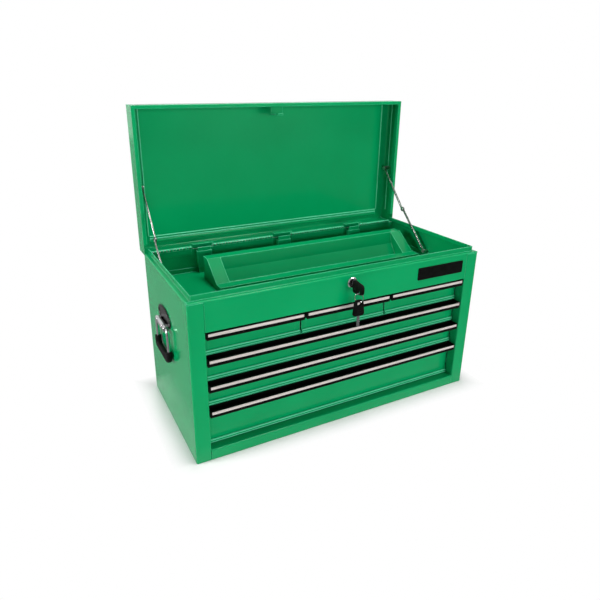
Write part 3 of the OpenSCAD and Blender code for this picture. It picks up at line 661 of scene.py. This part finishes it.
def pressedLink(name, body, node, start, end, x, knee):
    # drawn along X with its thickness along Y
    bm = bmesh.new()
    span = end - start
    length = span.length
    reach = stay["eye"] - stay["lap"]
    half, thin, rib = stay["wide"] / 2, stay["thick"] / 2, stay["rib"] / 2
    bar(bm, (reach, -thin, -half), (length - reach, thin, half), stay["round"])
    for y in (-thin, thin):
        bar(bm, (2 * reach, y - stay["ribRise"], -rib), (length - 2 * reach, y + stay["ribRise"], rib),
            stay["ribRound"])
    for at in (0, length):
        sleeveRing(bm, (at, 0, 0), Vector((0, 1, 0)), stay["bore"], stay["eye"], stay["thick"], stay["round"],
                   steps=28)
    if knee:
        head = flatBall(bm, stay["head"], stay["headFlat"])
        bmesh.ops.translate(bm, vec=(length, 0, 0), verts=head)
    along = span.normalized()
    out = Vector((1, 0, 0))
    place = Matrix((along, out, along.cross(out))).transposed().to_4x4()
    place.translation = start + out * x
    bmesh.ops.transform(bm, matrix=place, verts=bm.verts)
    piece(name, bm, body, "dark_steel", node, sharp=40, finish=stayPlating)


for side, sign in (("left", -1), ("right", 1)):
    low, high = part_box("stay_lower_" + side)
    kneeAt = Vector((0, high.y - stay["eye"], high.z - stay["eye"]))
    lowerX = (low.x + high.x) / 2
    upperX = sign * (abs(lowerX) - stay["apart"])
    pressedLink("pressedLinkLower." + side, "lower_stay_" + side, "stay_lower_" + side,
                pivotOf("stay_studs_case"), kneeAt, lowerX, False)
    pressedLink("pressedLinkUpper." + side, "upper_stay_" + side, "stay_upper_" + side,
                pivotOf("stay_studs_lid"), kneeAt, upperX, True)
print("stays pressed")


# pressed lines inside the lid: a pair above the rear bead, and upright ones on the panel and the side walls
swage = {"rear": (345.5 * mm, 351 * mm), "rearEnd": 306 * mm, "panel": 308 * mm, "wall": 182 * mm,
         "foot": 352 * mm, "top": 624 * mm, "radius": 1.4 * mm, "wallRadius": 1.2 * mm, "inside": 1.7 * mm}


def lidSwages():
    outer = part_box("lid_shell")[1]
    face = outer.y - swage["inside"]
    bm = bmesh.new()
    for z in swage["rear"]:
        roundBar(bm, (-swage["rearEnd"], face, z), (swage["rearEnd"], face, z), swage["radius"])
    lines = ((swage["panel"], face, swage["radius"]),
             (outer.x - swage["inside"], swage["wall"], swage["wallRadius"]))
    for side in (-1, 1):
        for x, y, radius in lines:
            roundBar(bm, (side * x, y, swage["foot"]), (side * x, y, swage["top"]), radius)
    # the swage lines are painted pale along their length as painted highlight lines
    piece("lidSwages", bm, "lid", "green_paint", sharp=60, finish=foldHighlightPaint)


lidSwages()
print("lid swaged")


# domed rivets in the covers of the locking bars
rivet = {"radius": 2.6 * mm, "height": 1.5 * mm, "sunk": 0.3 * mm, "foot": 290 * mm,
         "places": (-200 * mm, 0, 200 * mm)}


def domedRivets():
    bm = bmesh.new()
    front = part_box("bar_guides")[0].y
    for x in rivet["places"]:
        dome = flatBall(bm, rivet["radius"], rivet["height"] / rivet["radius"])
        whole = dome + linked(dome, "link_edges") + linked(dome, "link_faces")
        bmesh.ops.bisect_plane(bm, geom=whole, plane_co=(0, rivet["sunk"], 0), plane_no=(0, 1, 0),
                               clear_outer=True)
        left = [v for v in bm.verts if v.co.length < 2 * rivet["radius"]]
        rim = [e for e in linked(left, "link_edges") if e.is_boundary]
        bmesh.ops.holes_fill(bm, edges=rim, sides=0)
        bmesh.ops.translate(bm, verts=left, vec=(x, front, rivet["foot"]))
    piece("domedRivets", bm, "case", "zinc_steel", sharp=50)


domedRivets()
print("rivets set")


# white sweep that keeps a soft contact shadow; floor and room are dimmer in reflections, most of all in front
studio = {"floorSize": 6.0, "drop": 0.4 * mm, "floor": (0.94, 0.94, 0.94), "foot": (0.33, 0.1535),
          "fade": (0.0, 0.045), "floorMirror": (0.13, 0.28), "floorTurn": (-0.45, -0.2),
          "sky": 0.04, "roomMirror": (0.1, 0.7), "roomTurn": (-0.7, -0.1), "aim": (0, 0, 0.25)}
# place, size, power, and whether it shows in reflections
lamps = {"leftBox": ((-2.4, 0.3, 1.0), 0.7, 46, True), "frontLeftBox": ((-1.6, -4.8, 0.75), 1.8, 91, False),
         "frontRightBox": ((2.0, -4.6, 0.75), 1.8, 125, False), "topBox": ((0.0, -0.1, 2.3), 0.6, 31, False),
         "backBox": ((0.8, 4.0, 1.4), 1.8, 90, False), "highlightBox": ((0.55, -0.65, 2.25), 0.6, 11, True)}


def backdropLevel(tree, mirrored):
    # how bright the backdrop is: 1 for the camera, less in reflections, 0 for the light on the chest
    rays = tree.nodes.new("ShaderNodeLightPath")
    straight = math2(tree, "MAXIMUM", rays.outputs["Is Camera Ray"], rays.outputs["Is Transmission Ray"])
    return math2(tree, "MAXIMUM", straight, math2(tree, "MULTIPLY", rays.outputs["Is Glossy Ray"], mirrored))


def whiteSweep():
    mesh = bpy.data.meshes.new("studioFloor")
    bm = bmesh.new()
    bmesh.ops.create_grid(bm, x_segments=1, y_segments=1, size=studio["floorSize"])
    bmesh.ops.translate(bm, vec=(0, 0, -studio["drop"]), verts=bm.verts)
    bm.to_mesh(mesh)
    bm.free()
    floor = bpy.data.objects.new("studioFloor", mesh)
    scene.collection.objects.link(floor)
    mat = bpy.data.materials.new("studioFloor")
    mat.use_nodes = True
    tree = mat.node_tree
    tree.nodes.clear()
    out = tree.nodes.new("ShaderNodeOutputMaterial")
    matt = add(tree, "ShaderNodeBsdfDiffuse", Color=(*studio["floor"], 1))
    glow = add(tree, "ShaderNodeEmission", Color=(1, 1, 1, 1))
    axes = axesOf(tree, objectCoords(tree))
    beside = [math2(tree, "SUBTRACT", math2(tree, "ABSOLUTE", axes[i]), half)
              for i, half in enumerate(studio["foot"])]
    away = spread(tree, math2(tree, "MAXIMUM", *beside), 0, 1, *studio["fade"])
    level = backdropLevel(tree, spread(tree, axes["Y"], *studio["floorMirror"], *studio["floorTurn"]))
    shown = math2(tree, "GREATER_THAN", level, 0)
    tree.links.new(level, glow.inputs["Strength"])
    mix = tree.nodes.new("ShaderNodeMixShader")
    tree.links.new(math2(tree, "MULTIPLY", away, shown), mix.inputs[0])
    tree.links.new(matt.outputs[0], mix.inputs[1])
    tree.links.new(glow.outputs[0], mix.inputs[2])
    tree.links.new(mix.outputs[0], out.inputs[0])
    mesh.materials.append(mat)


def studioLight():
    world = bpy.data.worlds.new("studio")
    scene.world = world
    world.use_nodes = True
    tree = world.node_tree
    shade = tree.nodes["Background"]
    shade.inputs["Color"].default_value = (1, 1, 1, 1)
    coords = tree.nodes.new("ShaderNodeTexCoord")
    toBack = axesOf(tree, coords.outputs["Generated"])["Y"]
    level = backdropLevel(tree, spread(tree, toBack, *studio["roomMirror"], *studio["roomTurn"]))
    tree.links.new(math2(tree, "MAXIMUM", level, studio["sky"]), shade.inputs["Strength"])
    for name, (place, size, power, mirrored) in lamps.items():
        lamp = bpy.data.lights.new(name, "AREA")
        lamp.shape = "SQUARE"
        lamp.size = size
        lamp.energy = power
        obj = bpy.data.objects.new(name, lamp)
        scene.collection.objects.link(obj)
        obj.visible_glossy = mirrored
        aim = Vector(studio["aim"]) - Vector(place)
        obj.matrix_world = Matrix.Translation(place) @ aim.to_track_quat("-Z", "Y").to_matrix().to_4x4()


whiteSweep()
studioLight()
print("studio lit")
